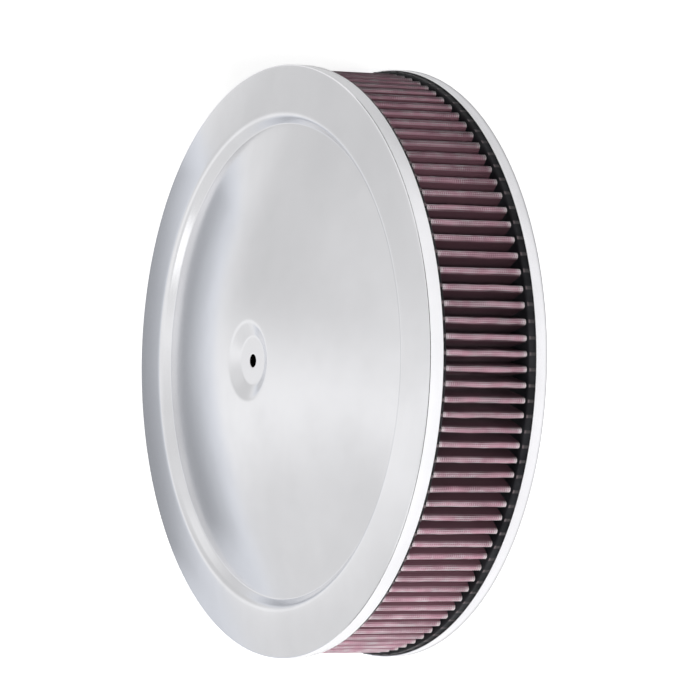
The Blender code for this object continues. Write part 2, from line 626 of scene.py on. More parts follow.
def distance_from_axis(tree, place):
    """Output socket of the distance from the stud axis."""
    level = {0: place, 1: (1.0, 1.0, 0.0)}
    flat = link_node(tree, "ShaderNodeVectorMath", level, operation="MULTIPLY")
    length = link_node(tree, "ShaderNodeVectorMath", {0: flat.outputs[0]}, operation="LENGTH")
    return length.outputs["Value"]


def plated_steel(settings):
    """Bright plating with a satin sheen: spin marks, faint waviness and soft smudges."""
    material, tree, shader = new_material("satin_plating")
    place = link_node(tree, "ShaderNodeTexCoord").outputs["Object"]
    radius = distance_from_axis(tree, place)
    height = link_node(tree, "ShaderNodeSeparateXYZ", {0: place}).outputs["Z"]
    turned = link_node(tree, "ShaderNodeCombineXYZ", {"X": radius, "Y": height})
    spin_marks = noise(tree, turned.outputs[0], scale=900.0, detail=3.0, roughness=0.7)
    smudges = noise(tree, place, scale=14.0, detail=4.0, roughness=0.6)
    grain = noise(tree, place, scale=2600.0, detail=2.0)
    waves = noise(tree, place, scale=22.0, detail=2.0)
    tone = map_range(tree, smudges, 0.3, 0.75, 0.0, 1.0)
    bright = tuple(settings.finish.plating)
    dull = tuple(0.93 * part for part in bright)
    tree.links.new(mix_colour(tree, tone, bright, dull), shader.inputs["Base Color"])
    rough = map_range(tree, smudges, 0.25, 0.8, 0.15, 0.21)
    marks = math_node(tree, "MULTIPLY", spin_marks, 0.05)
    tree.links.new(math_node(tree, "ADD", rough, marks), shader.inputs["Roughness"])
    shader.inputs["Metallic"].default_value = 1.0
    wavy = link_node(tree, "ShaderNodeBump", {"Height": waves, "Strength": 0.10, "Distance": 0.002})
    spun = link_node(
        tree,
        "ShaderNodeBump",
        {"Height": spin_marks, "Strength": 0.05, "Distance": 0.0002, "Normal": wavy.outputs[0]},
    )
    fine = link_node(
        tree,
        "ShaderNodeBump",
        {"Height": grain, "Strength": 0.06, "Distance": 0.0001, "Normal": spun.outputs[0]},
    )
    tree.links.new(fine.outputs[0], shader.inputs["Normal"])
    return material


def towards_ends(tree, place, start, reach):
    """1 at both ends of the pleats and 0 from a distance on, in millimetres, with a ragged edge."""
    height = link_node(tree, "ShaderNodeSeparateXYZ", {0: place}).outputs["Z"]
    middle = 0.5 * (PACK_LOW + PACK_HIGH) * MM
    half = 0.5 * (PACK_HIGH - PACK_LOW) * MM
    away = math_node(tree, "ABSOLUTE", math_node(tree, "SUBTRACT", height, middle))
    uneven = math_node(tree, "SUBTRACT", noise(tree, place, scale=320.0, detail=2.0), 0.5)
    ragged = math_node(tree, "MULTIPLY", uneven, END_RAGGEDNESS * MM)
    shifted = math_node(tree, "ADD", away, ragged)
    return map_range(tree, shifted, half - reach * MM, half - start * MM, 0.0, 1.0)


def down_the_pleats(tree, place, start, end):
    """0 on the folds' tips and 1 deep between them, by the distance from the stud axis."""
    return map_range(tree, distance_from_axis(tree, place), end * MM, start * MM, 1.0, 0.0)


def paint_light_around(tree, place, deep, colour):
    """The pleats' colour with painted shade on the tips at one side and painted light in the folds at both.
    """
    across = link_node(tree, "ShaderNodeSeparateXYZ", {0: place}).outputs["X"]
    tips = map_range(tree, across, SHADED_TIPS_START * MM, SHADED_TIPS_END * MM, 1.0, SHADED_TIPS_LIGHT)
    aside = math_node(tree, "ABSOLUTE", across)
    folds = map_range(tree, aside, LIT_FOLDS_START * MM, LIT_FOLDS_END * MM, 1.0, LIT_FOLDS_LIGHT)
    deeper = math_node(tree, "MULTIPLY", math_node(tree, "SUBTRACT", folds, tips), deep)
    share = math_node(tree, "ADD", tips, deeper)
    spread = link_node(tree, "ShaderNodeVectorMath", {0: colour, "Scale": share}, operation="SCALE")
    return spread.outputs[0]


def shade_down_folds(tree, place, deep, colour, oil_and_fold_shade, deepest):
    """The pleats' colour with painted shade down the folds and at their bottom, and painted light and shade
    around the ring.
    """
    bottom = down_the_pleats(tree, place, BOTTOM_START, BOTTOM_END)
    shaded_side = mix_colour(tree, deep, colour, oil_and_fold_shade)
    return paint_light_around(tree, place, deep, mix_colour(tree, bottom, shaded_side, deepest))


def threads(tree, cloth, direction):
    """Output socket of the gauze's threads that run one way."""
    node = link_node(
        tree,
        "ShaderNodeTexWave",
        {"Vector": cloth, "Scale": 560.0},
        bands_direction=direction,
    )
    return node.outputs["Fac"]


def oiled_cotton(settings):
    """Red oiled gauze: crossed threads, darker where oil pooled, with painted shade and light on the folds.
    """
    material, tree, shader = new_material("oiled_gauze")
    coordinates = link_node(tree, "ShaderNodeTexCoord")
    place = coordinates.outputs["Object"]
    cloth = coordinates.outputs["UV"]
    weave = math_node(tree, "MULTIPLY", threads(tree, cloth, "X"), threads(tree, cloth, "Y"))
    fuzz = noise(tree, place, scale=1900.0, detail=3.0, roughness=0.7)
    pools = noise(tree, place, scale=46.0, detail=3.0)
    base = tuple(settings.finish.cotton)
    dark = tuple(0.42 * part for part in base)
    light = tuple(min(1.0, 1.5 * part + 0.04) for part in base)
    oil_and_fold_shade = mix_colour(tree, map_range(tree, pools, 0.3, 0.7, 0.0, 1.0), base, dark)
    threaded = mix_colour(tree, math_node(tree, "MULTIPLY", weave, 0.5), oil_and_fold_shade, light)
    pale = mix_colour(tree, towards_ends(tree, place, start=0.6, reach=4.0), threaded, PALE_GAUZE)
    potted = mix_colour(tree, towards_ends(tree, place, start=-0.3, reach=0.4), pale, POTTED_GAUZE)
    # Painted shade down the folds, and painted light and shade around the ring
    deep = down_the_pleats(tree, place, settings.pack.bright_radius, settings.pack.dark_radius)
    colour = shade_down_folds(tree, place, deep, potted, FOLD_SHADE_GAUZE, DEEPEST_GAUZE)
    tree.links.new(colour, shader.inputs["Base Color"])
    shader.inputs["Roughness"].default_value = 0.75
    shader.inputs["Specular IOR Level"].default_value = 0.0
    woven = link_node(tree, "ShaderNodeBump", {"Height": weave, "Strength": 0.6, "Distance": 0.0003})
    fluffy = link_node(
        tree,
        "ShaderNodeBump",
        {"Height": fuzz, "Strength": 0.5, "Distance": 0.0003, "Normal": woven.outputs[0]},
    )
    tree.links.new(fluffy.outputs[0], shader.inputs["Normal"])
    return material


def woven_wire(settings):
    """Dull wire, filmed with red oil in places, black at the moulded ends, with painted shade and light on
    the folds.
    """
    material, tree, shader = new_material("woven_wire")
    place = link_node(tree, "ShaderNodeTexCoord").outputs["Object"]
    film = noise(tree, place, scale=120.0, detail=3.0, roughness=0.6)
    grain = noise(tree, place, scale=3000.0, detail=2.0)
    bare = tuple(settings.finish.wire)
    oil_and_fold_shade = (bare[0] * 0.75, bare[1] * 0.42, bare[2] * 0.52)
    filmed = mix_colour(tree, map_range(tree, film, 0.35, 0.65, 0.1, 0.8), bare, oil_and_fold_shade)
    pale = mix_colour(tree, towards_ends(tree, place, start=0.6, reach=3.6), filmed, PALE_WIRE)
    ends = towards_ends(tree, place, start=-0.3, reach=0.4)
    potted = mix_colour(tree, ends, pale, POTTED_WIRE)
    # Painted shade down the folds, and painted light and shade around the ring
    deep = down_the_pleats(tree, place, settings.pack.bright_radius, settings.pack.dark_radius)
    colour = shade_down_folds(tree, place, deep, potted, FOLD_SHADE_WIRE, DEEPEST_WIRE)
    tree.links.new(colour, shader.inputs["Base Color"])
    tree.links.new(map_range(tree, grain, 0.2, 0.8, 0.34, 0.50), shader.inputs["Roughness"])
    # Deep in the folds the wire also loses its metal sheen, along with the painted shade there
    potted_ends_and_shaded_folds = math_node(tree, "MAXIMUM", ends, deep)
    tree.links.new(map_range(tree, potted_ends_and_shaded_folds, 0.0, 1.0, 0.3, 0.0), shader.inputs["Metallic"])
    shader.inputs["Specular IOR Level"].default_value = 0.0
    return material


def moulded_urethane(settings):
    """Moulded urethane: near black, a little glossy, with a faint skin texture."""
    material, tree, shader = new_material("moulded_urethane")
    place = link_node(tree, "ShaderNodeTexCoord").outputs["Object"]
    skin = noise(tree, place, scale=700.0, detail=3.0, roughness=0.6)
    clouds = noise(tree, place, scale=60.0, detail=2.0)
    base = tuple(settings.finish.urethane)
    greyer = tuple(min(1.0, part * 1.9 + 0.004) for part in base)
    clouded = mix_colour(tree, map_range(tree, clouds, 0.35, 0.7, 0.0, 1.0), base, greyer)
    height = link_node(tree, "ShaderNodeSeparateXYZ", {0: place}).outputs["Z"]
    # The traces are lighter for the folds showing through and for a painted sheen, and lighter still
    # towards the cap's face
    below_face = (BOTTOM_CAP_HIGH - 1.6) * MM
    by_face = (BOTTOM_CAP_HIGH - 0.8) * MM
    near_face = map_range(tree, height, below_face, by_face, 0.0, 1.0)
    trace = mix_colour(tree, near_face, TRACE_BY_SKIRT, TRACE_BY_FACE)
    on_wall = (CAP_RADIUS + 0.02) * MM
    off_wall = (CAP_RADIUS + 0.15) * MM
    proud = map_range(tree, distance_from_axis(tree, place), on_wall, off_wall, 0.0, 1.0)
    tree.links.new(mix_colour(tree, proud, clouded, trace), shader.inputs["Base Color"])
    tree.links.new(map_range(tree, skin, 0.3, 0.7, 0.38, 0.55), shader.inputs["Roughness"])
    shader.inputs["Specular IOR Level"].default_value = 0.12
    bump = link_node(tree, "ShaderNodeBump", {"Height": skin, "Strength": 0.25, "Distance": 0.0003})
    tree.links.new(bump.outputs[0], shader.inputs["Normal"])
    return material


def sealing_rubber():
    """Matt sealing rubber with a fine speckle."""
    material, tree, shader = new_material("sealing_rubber")
    place = link_node(tree, "ShaderNodeTexCoord").outputs["Object"]
    speckle = noise(tree, place, scale=1500.0, detail=3.0, roughness=0.65)
    tone = map_range(tree, speckle, 0.4, 0.7, 0.0, 1.0)
    tree.links.new(mix_colour(tree, tone, DARK_RUBBER, PALE_RUBBER), shader.inputs["Base Color"])
    shader.inputs["Roughness"].default_value = 0.72
    bump = link_node(tree, "ShaderNodeBump", {"Height": speckle, "Strength": 0.3, "Distance": 0.0003})
    tree.links.new(bump.outputs[0], shader.inputs["Normal"])
    return material


def get_material(name, make, *arguments):
    """The finish of that name, made the first time it is asked for."""
    return bpy.data.materials.get(name) or make(*arguments)


def finish_piece(piece, slot, *nodes):
    """Hand a finished piece to the frame: its body and the nodes it stands for. Its slot is not used."""
    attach(piece, BODY)
    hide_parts(*nodes)


def plain_mesh(holder, name):
    """Replace an object by the plain mesh that its modifiers make."""
    graph = bpy.context.evaluated_depsgraph_get()
    mesh = bpy.data.meshes.new_from_object(holder.evaluated_get(graph))
    mesh.name = name
    bpy.data.objects.remove(holder, do_unlink=True)
    piece = bpy.data.objects.new(name, mesh)
    bpy.context.scene.collection.objects.link(piece)
    return piece


def shade(piece, degrees):
    """Smooth shading, with edges sharper than an angle kept sharp."""
    piece.data.shade_smooth()
    piece.data.set_sharp_from_angle(angle=math.radians(degrees))


def round_corner(before, corner, after, radius, steps):
    """Points of an arc that rounds a corner of an outline."""
    corner = Vector(corner)
    way_before = (Vector(before) - corner).normalized()
    way_after = (Vector(after) - corner).normalized()
    half = 0.5 * way_before.angle(way_after)
    start = corner + way_before * (radius / math.tan(half))
    centre = corner + (way_before + way_after).normalized() * (radius / math.sin(half))
    turn = math.pi - 2.0 * half
    if way_before.x * way_after.y - way_before.y * way_after.x > 0.0:
        turn = -turn
    return [
        tuple(centre + Matrix.Rotation(turn * step / steps, 2) @ (start - centre))
        for step in range(steps + 1)
    ]


def rounded(corners, steps):
    """Outline points from (radius, height, rounding) corners. A rounding of 0 stays sharp."""
    points = []
    for index, (radius, height, rounding) in enumerate(corners):
        if rounding == 0.0:
            points.append((radius, height))
            continue
        before = corners[index - 1][:2]
        after = corners[(index + 1) % len(corners)][:2]
        points.extend(round_corner(before, (radius, height), after, rounding, steps))
    return points


def profile_object(name, points, closed, shift=(0.0, 0.0)):
    """An object that holds an outline in the XZ plane, as a chain of edges."""
    mesh = bpy.data.meshes.new(name)
    vertices = [((x + shift[0]) * MM, 0.0, (z + shift[1]) * MM) for x, z in points]
    edges = [(index, index + 1) for index in range(len(points) - 1)]
    if closed:
        edges.append((len(points) - 1, 0))
    mesh.from_pydata(vertices, edges, [])
    holder = bpy.data.objects.new(name + "_profile", mesh)
    bpy.context.scene.collection.objects.link(holder)
    return holder


def turn(holder, steps):
    """Turn an outline around the stud axis."""
    screw = holder.modifiers.new("Turn", "SCREW")
    screw.steps = steps
    screw.render_steps = steps
    screw.use_merge_vertices = True
    screw.merge_threshold = 0.000001


def pressed_sheet(name, points, steps, material):
    """A pressed sheet: an outline turned, with its thickness inside and its edges eased."""
    holder = profile_object(name, points, False)
    turn(holder, steps)
    wall = holder.modifiers.new("Wall", "SOLIDIFY")
    wall.thickness = SHEET * MM
    wall.offset = -1.0
    wall.use_even_offset = True
    wall.use_quality_normals = True
    ease = holder.modifiers.new("Eased edges", "BEVEL")
    ease.width = EASED_SHARE * SHEET * MM
    ease.segments = 2
    ease.limit_method = "ANGLE"
    ease.angle_limit = math.radians(60.0)
    piece = plain_mesh(holder, name)
    piece.data.materials.append(material)
    shade(piece, 50.0)
    return piece


def lid_outline(lid):
    """The lid's outer surface, from the stud hole out and down to the skirt's edge."""
    step_top = RIM_HEIGHT + lid.rim_rise
    step_floor = step_top - STEP_DEPTH
    floor_radius = STEP_RADIUS - STEP_WIDTH
    dome_radius = (floor_radius ** 2 + DOME_RISE ** 2) / (2.0 * DOME_RISE)
    dome_centre = step_floor + DOME_RISE - dome_radius

    def dome(radius):
        """Height of the dome: a sphere whose outer border is straightened a little."""
        ball = min(radius, lid.border_radius)
        height = dome_centre + math.sqrt(dome_radius ** 2 - ball ** 2)
        slope = ball / math.sqrt(dome_radius ** 2 - ball ** 2)
        border = radius - ball
        return height - slope * border - 0.5 * lid.border_curve * border ** 2 / dome_radius

    def rim(radius):
        """Height of the rim: a slope, flatter towards the step."""
        share = (LID_RADIUS - radius) / (LID_RADIUS - STEP_RADIUS)
        return RIM_HEIGHT + lid.rim_rise * ((1.0 + lid.crown) * share - lid.crown * share ** 2)

    dimple_floor = dome(lid.dimple_radius) - lid.dimple_depth
    corners = [
        (STUD_HOLE_RADIUS, dimple_floor, 0.0),
        (STUD_HOLE_RADIUS + STUD_HOLE_MARGIN, dimple_floor, 0.0),
        (lid.dimple_floor, dimple_floor, DIMPLE_FOOT_BEND),
        (lid.dimple_radius, dome(lid.dimple_radius), DIMPLE_RIM_BEND),
    ]
    dome_start = lid.dimple_radius + DOME_INNER_MARGIN
    dome_end = floor_radius - DOME_OUTER_MARGIN
    for step in range(DOME_STEPS):
        radius = dome_start + (dome_end - dome_start) * step / (DOME_STEPS - 1)
        corners.append((radius, dome(radius), 0.0))
    foot_radius = floor_radius - lid.step_ease
    corners.append((foot_radius, dome(foot_radius), lid.foot_rounding))
    corners.append((STEP_RADIUS + lid.step_ease, step_top, lid.step_rounding))
    rim_end = LID_RADIUS - RIM_OUTER_MARGIN
    for step in range(1, RIM_STEPS):
        radius = STEP_RADIUS + (rim_end - STEP_RADIUS) * step / (RIM_STEPS - 1)
        corners.append((radius, rim(radius), 0.0))
    corners.append((LID_RADIUS, RIM_HEIGHT, EDGE_BEND))
    corners.append((LID_RADIUS, LID_LOW, 0.0))
    return rounded(corners, BEND_STEPS)


def base_outline(base):
    """The pan's underside, from the skirt's edge down and in to the neck's lip."""
    corners = [
        (BASE_RADIUS, BASE_SKIRT, 0.0),
        (BASE_RADIUS, 0.0, EDGE_BEND),
        (SEAT_RADIUS, 0.0, base.bend),
        (SEAT_RADIUS - FLOOR_STEP, FLOOR_RISE, base.bend),
        (NECK_RADIUS, FLOOR_RISE, NECK_BEND),
        (NECK_RADIUS, FLOOR_RISE + NECK_BEND + NECK_LIP, 0.0),
    ]
    return rounded(corners, BEND_STEPS)


class PleatShape:
    """Section of one pleat, whose folds are centred on two circles."""

    def __init__(self):
        self.outer_centres = PACK_RADIUS - FOLD_OUTSIDE
        self.inner_centres = PACK_INNER_RADIUS + FOLD_OUTSIDE
        self.half_pitch = math.pi / PLEATS
        inward = self.outer_centres - self.inner_centres * math.cos(self.half_pitch)
        sideways = self.inner_centres * math.sin(self.half_pitch)
        folds = FOLD_INSIDE + FOLD_OUTSIDE
        lean = math.asin(folds / math.hypot(inward, sideways))
        self.flank = math.atan2(sideways, inward) - lean

    def path(self, fold, outer_steps, inner_steps):
        """Points along a sheet's mid-line, from one inner fold over the outer fold to the next."""
        inner_fold = FOLD_INSIDE + FOLD_OUTSIDE - fold
        centre_x = self.inner_centres * math.cos(self.half_pitch)
        centre_y = self.inner_centres * math.sin(self.half_pitch)
        start = -0.5 * math.pi - self.flank
        end = -math.pi + self.half_pitch
        right = []
        first = 0 if inner_steps else 1
        spread = max(1, inner_steps)
        for step in range(first, spread + 1):
            angle = start + (end - start) * step / spread
            right.append((centre_x + inner_fold * math.cos(angle), centre_y + inner_fold * math.sin(angle)))
        reach = 0.5 * math.pi - self.flank
        tip = []
        for step in range(outer_steps + 1):
            angle = -reach + 2.0 * reach * step / outer_steps
            tip.append((self.outer_centres + fold * math.cos(angle), fold * math.sin(angle)))
        left = [(x, -y) for x, y in reversed(right)]
        return left + tip + right


def path_normals(points):
    """Unit vectors across a path, on the side away from the stud axis at the fold's tip."""
    normals = []
    last = len(points) - 1
    for index in range(len(points)):
        before = Vector(points[max(0, index - 1)])
        after = Vector(points[min(last, index + 1)])
        along = (after - before).normalized()
        normals.append(Vector((along.y, -along.x)))
    normals[0] = Vector(points[0]).normalized()
    normals[-1] = Vector(points[-1]).normalized()
    return normals


def path_lengths(points):
    """Distance of each point from the start of its path."""
    lengths = [0.0]
    for before, after in zip(points, points[1:]):
        lengths.append(lengths[-1] + (Vector(after) - Vector(before)).length)
    return lengths


def point_along(points, lengths, distance):
    """Point of a path at a distance from its start."""
    for index in range(1, len(points)):
        if lengths[index] >= distance:
            share = (distance - lengths[index - 1]) / (lengths[index] - lengths[index - 1])
            return Vector(points[index - 1]).lerp(Vector(points[index]), share)
    return Vector(points[-1])


def swept_faces(rings, sides, closed_ends):
    """Faces between rings of vertices that follow each other."""
    faces = []
    for ring in range(rings - 1):
        for side in range(sides):
            a = ring * sides + side
            b = ring * sides + (side + 1) % sides
            faces.append((a, b, b + sides, a + sides))
    if closed_ends:
        faces.append(tuple(reversed(range(sides))))
        faces.append(tuple((rings - 1) * sides + side for side in range(sides)))
    return faces


def add_shape(vertices, faces, new_vertices, new_faces):
    """Append a shape to the lists of a mesh in the making."""
    start = len(vertices)
    vertices.extend(new_vertices)
    faces.extend(tuple(start + index for index in face) for face in new_faces)


def pleat_object(name, vertices, faces):
    """An object that holds the mesh of one pleat, in millimetres."""
    mesh = bpy.data.meshes.new(name)
    mesh.from_pydata([(x * MM, y * MM, z * MM) for x, y, z in vertices], [], faces)
    holder = bpy.data.objects.new(name + "_pleat", mesh)
    bpy.context.scene.collection.objects.link(holder)
    return holder


def screen_pleat(name, shape, pack, fold, outer_steps, inner_steps):
    """One pleat of woven wire: hoops along the folds and straight bars across them."""
    vertices = []
    faces = []
    wire_radius = 0.5 * pack.wire * WIRE_WIDENING
    layer = 0.5 * (SCREEN_THICKNESS - pack.wire)
    path = shape.path(fold, outer_steps, inner_steps)
    normals = path_normals(path)
    hoops = round((PACK_HIGH - PACK_LOW) / pack.pitch)
    for hoop in range(hoops):
        height = PACK_LOW + (hoop + 0.5) * (PACK_HIGH - PACK_LOW) / hoops
        ring_points = []
        for (x, y), normal in zip(path, normals):
            for side in range(WIRE_SIDES):
                angle = math.tau * side / WIRE_SIDES
                across = layer + wire_radius * math.cos(angle)
                below = wire_radius * math.sin(angle)
                ring_points.append((x + normal.x * across, y + normal.y * across, height - below))
        add_shape(vertices, faces, ring_points, swept_faces(len(path), WIRE_SIDES, False))
    lengths = path_lengths(path)
    bars = round(lengths[-1] / pack.pitch)
    for bar in range(bars):
        middle = point_along(path, lengths, (bar + 0.5) * lengths[-1] / bars)
        bar_points = []
        for height in (PACK_LOW, PACK_HIGH):
            for side in range(WIRE_SIDES):
                angle = math.tau * side / WIRE_SIDES
                outward = wire_radius * math.cos(angle)
                sideways = wire_radius * math.sin(angle)
                bar_points.append((middle.x + outward, middle.y + sideways, height))
        add_shape(vertices, faces, bar_points, swept_faces(2, WIRE_SIDES, True))
    return pleat_object(name, vertices, faces)


def cotton_pleat(name, shape):
    """One pleat of gauze, with its thickness, and a UV map along the cloth in metres."""
    path = shape.path(COTTON_FOLD, outer_steps=8, inner_steps=4)
    normals = path_normals(path)
    lengths = path_lengths(path)
    half = 0.5 * COTTON_THICKNESS
    level_gap = (PACK_HIGH - PACK_LOW) / (COTTON_LEVELS - 1)
    heights = [PACK_LOW + level_gap * level for level in range(COTTON_LEVELS)]
    count = len(path)
    vertices = []
    for side in (1.0, -1.0):
        for height in heights:
            for (x, y), normal in zip(path, normals):
                vertices.append((x + normal.x * half * side, y + normal.y * half * side, height))
    faces = []
    back = count * COTTON_LEVELS
    for level in range(COTTON_LEVELS - 1):
        for index in range(count - 1):
            a = level * count + index
            faces.append((a, a + 1, a + 1 + count, a + count))
            faces.append((back + a, back + a + count, back + a + 1 + count, back + a + 1))
    for index in range(count - 1):
        top = (COTTON_LEVELS - 1) * count + index
        faces.append((index, back + index, back + index + 1, index + 1))
        faces.append((top, top + 1, back + top + 1, back + top))
    holder = pleat_object(name, vertices, faces)
    cloth = holder.data.uv_layers.new(name="UVMap")
    for loop in holder.data.loops:
        index = loop.vertex_index % back
        cloth.data[loop.index].uv = (lengths[index % count] * MM, heights[index // count] * MM)
    return holder


def collar_pleat(name, shape, caps, face_height, upwards):
    """Moulding that has climbed one pleat's end, tapering away from the cap's face."""
    path = shape.path(OUTER_SCREEN_FOLD, outer_steps=6, inner_steps=3)
    normals = path_normals(path)
    way = 1.0 if upwards else -1.0
    section = [
        (-COLLAR_BACK, -COLLAR_ROOT),
        (caps.collar_width + COLLAR_FOOT, -COLLAR_ROOT),
        (caps.collar_width, COLLAR_FOOT),
        (COLLAR_SHOULDER * caps.collar_width, COLLAR_SHOULDER * caps.collar_height),
        (COLLAR_TIP, caps.collar_height),
        (-COLLAR_BACK, caps.collar_height + COLLAR_BACK_RISE),
    ]
    if upwards:
        section.reverse()
    vertices = []
    for (x, y), normal in zip(path, normals):
        for across, climb in section:
            vertices.append((x + normal.x * across, y + normal.y * across, face_height + way * climb))
    faces = swept_faces(len(path), len(section), False)
    trace = []
    trace_end = BOTTOM_CAP_HIGH - BASE_SKIRT + TRACE_BEHIND_SKIRT
    for height in sorted((face_height - way * TRACE_START, face_height - way * trace_end)):
        for side in range(TRACE_SIDES):
            share = 2.0 * side / (TRACE_SIDES - 1) - 1.0
            out = caps.trace_height * math.cos(0.5 * math.pi * share) - TRACE_SUNK
            trace.append((CAP_RADIUS + out, 0.5 * caps.trace_width * share, height))
        trace.append((CAP_RADIUS - TRACE_ROOT, 0.0, height))
    add_shape(vertices, faces, trace, swept_faces(2, TRACE_SIDES + 1, True))
    return pleat_object(name, vertices, faces)


def pleat_ring_tree():
    """Geometry Nodes that repeat one pleat around the axis and let the folds stray."""
    tree = bpy.data.node_groups.get("pleat_ring")
    if tree:
        return tree
    tree = bpy.data.node_groups.new("pleat_ring", "GeometryNodeTree")
    face = tree.interface
    face.new_socket("Geometry", in_out="INPUT", socket_type="NodeSocketGeometry")
    face.new_socket("Count", in_out="INPUT", socket_type="NodeSocketInt")
    for name in ("Turn", "Crowding", "Crowding Phase", "Ripple", "Ripple Phase", "Wander", "Seed"):
        face.new_socket(name, in_out="INPUT", socket_type="NodeSocketFloat")
    face.new_socket("Material", in_out="INPUT", socket_type="NodeSocketMaterial")
    face.new_socket("Geometry", in_out="OUTPUT", socket_type="NodeSocketGeometry")
    given = link_node(tree, "NodeGroupInput").outputs
    places = link_node(tree, "GeometryNodeMeshLine", {"Count": given["Count"], "Offset": (0.0, 0.0, 0.0)})
    index = link_node(tree, "GeometryNodeInputIndex").outputs[0]
    step = math_node(tree, "DIVIDE", math.tau, given["Count"])
    angle = math_node(tree, "MULTIPLY", index, step)
    turned = link_node(tree, "ShaderNodeCombineXYZ", {"Z": angle})
    rotation = link_node(tree, "FunctionNodeEulerToRotation", {0: turned.outputs[0]})
    pleats = link_node(
        tree,
        "GeometryNodeInstanceOnPoints",
        {"Points": places.outputs[0], "Instance": given["Geometry"], "Rotation": rotation.outputs[0]},
    )
    real = link_node(tree, "GeometryNodeRealizeInstances", {"Geometry": pleats.outputs[0]})
    joined = link_node(
        tree,
        "GeometryNodeMergeByDistance",
        {"Geometry": real.outputs[0], "Distance": MERGE_DISTANCE * MM},
    )
    place = link_node(tree, "GeometryNodeInputPosition").outputs[0]
    parts = link_node(tree, "ShaderNodeSeparateXYZ", {0: place})
    around = math_node(tree, "ARCTAN2", parts.outputs["Y"], parts.outputs["X"])
    drift = given["Turn"]
    for count, size in ((CROWDINGS_AROUND, "Crowding"), (RIPPLES_AROUND, "Ripple")):
        turns = math_node(tree, "MULTIPLY", around, count)
        waves = math_node(tree, "SINE", math_node(tree, "ADD", turns, given[size + " Phase"]))
        drift = math_node(tree, "ADD", drift, math_node(tree, "MULTIPLY", waves, given[size]))
    stray_noise = link_node(
        tree,
        "ShaderNodeTexNoise",
        {"Vector": place, "W": given["Seed"], "Scale": STRAY_SCALE, "Detail": 1.0},
        noise_dimensions="4D",
    )
    centred = math_node(tree, "SUBTRACT", stray_noise.outputs["Fac"], 0.5)
    spread = math_node(tree, "MULTIPLY", centred, STRAY_SPREAD)
    stray = math_node(tree, "MULTIPLY", spread, given["Wander"])
    swing = math_node(tree, "ADD", drift, stray)
    moved = link_node(
        tree,
        "ShaderNodeVectorRotate",
        {"Vector": place, "Angle": swing},
        rotation_type="Z_AXIS",
    )
    settled = link_node(
        tree,
        "GeometryNodeSetPosition",
        {"Geometry": joined.outputs[0], "Position": moved.outputs[0]},
    )
    finished = link_node(
        tree,
        "GeometryNodeSetMaterial",
        {"Geometry": settled.outputs[0], "Material": given["Material"]},
    )
    link_node(tree, "NodeGroupOutput", {"Geometry": finished.outputs[0]})
    return tree


def pleated(holder, name, pack, material):
    """Repeat one pleat around the axis, and return the ring as a plain mesh."""
    tree = pleat_ring_tree()
    ring = holder.modifiers.new("Pleats", "NODES")
    ring.node_group = tree
    values = {
        "Count": PLEATS,
        "Turn": pack.turn,
        "Crowding": pack.crowding,
        "Crowding Phase": pack.crowding_phase,
        "Ripple": pack.ripple,
        "Ripple Phase": pack.ripple_phase,
        "Wander": pack.wander,
        "Seed": pack.seed,
        "Material": material,
    }
    for item in tree.interface.items_tree:
        if item.in_out == "INPUT" and item.name in values:
            ring[item.identifier] = values[item.name]
    return plain_mesh(holder, name)


class AIRCLEANER_OT_lid(bpy.types.Operator):
    """Press the lid"""

    bl_idname = "air_cleaner.lid"
    bl_label = "Lid"

    def execute(self, context):
        settings = scene_settings(context)
        plating = get_material("satin_plating", plated_steel, settings)
        piece = pressed_sheet("lid_shell", lid_outline(settings.lid), settings.lid.turn_steps, plating)
        finish_piece(piece, "plated_steel", "lid")
        return {"FINISHED"}


class AIRCLEANER_OT_base(bpy.types.Operator):
    """Press the base pan"""

    bl_idname = "air_cleaner.base"
    bl_label = "Base Pan"

    def execute(self, context):
        settings = scene_settings(context)
        plating = get_material("satin_plating", plated_steel, settings)
        piece = pressed_sheet("base_shell", base_outline(settings.base), settings.base.turn_steps, plating)
        finish_piece(piece, "plated_steel", "base_pan")
        return {"FINISHED"}


class AIRCLEANER_OT_gasket(bpy.types.Operator):
    """Cut the neck gasket"""

    bl_idname = "air_cleaner.gasket"
    bl_label = "Neck Gasket"

    def execute(self, context):
        settings = scene_settings(context)
        inner = NECK_RADIUS + NECK_BEND + GASKET_INSET
        corners = [
            (inner, GASKET_HIGH, GASKET_EASING),
            (GASKET_RADIUS, GASKET_HIGH, GASKET_EASING),
            (GASKET_RADIUS, GASKET_LOW, GASKET_EASING),
            (inner, GASKET_LOW, GASKET_EASING),
        ]
        holder = profile_object("gasket_ring", rounded(corners, CAP_BEND_STEPS), True)
        turn(holder, settings.base.turn_steps)
        piece = plain_mesh(holder, "gasket_ring")
        piece.data.materials.append(get_material("sealing_rubber", sealing_rubber))
        shade(piece, 60.0)
        finish_piece(piece, "gasket_rubber", "neck_gasket")
        return {"FINISHED"}


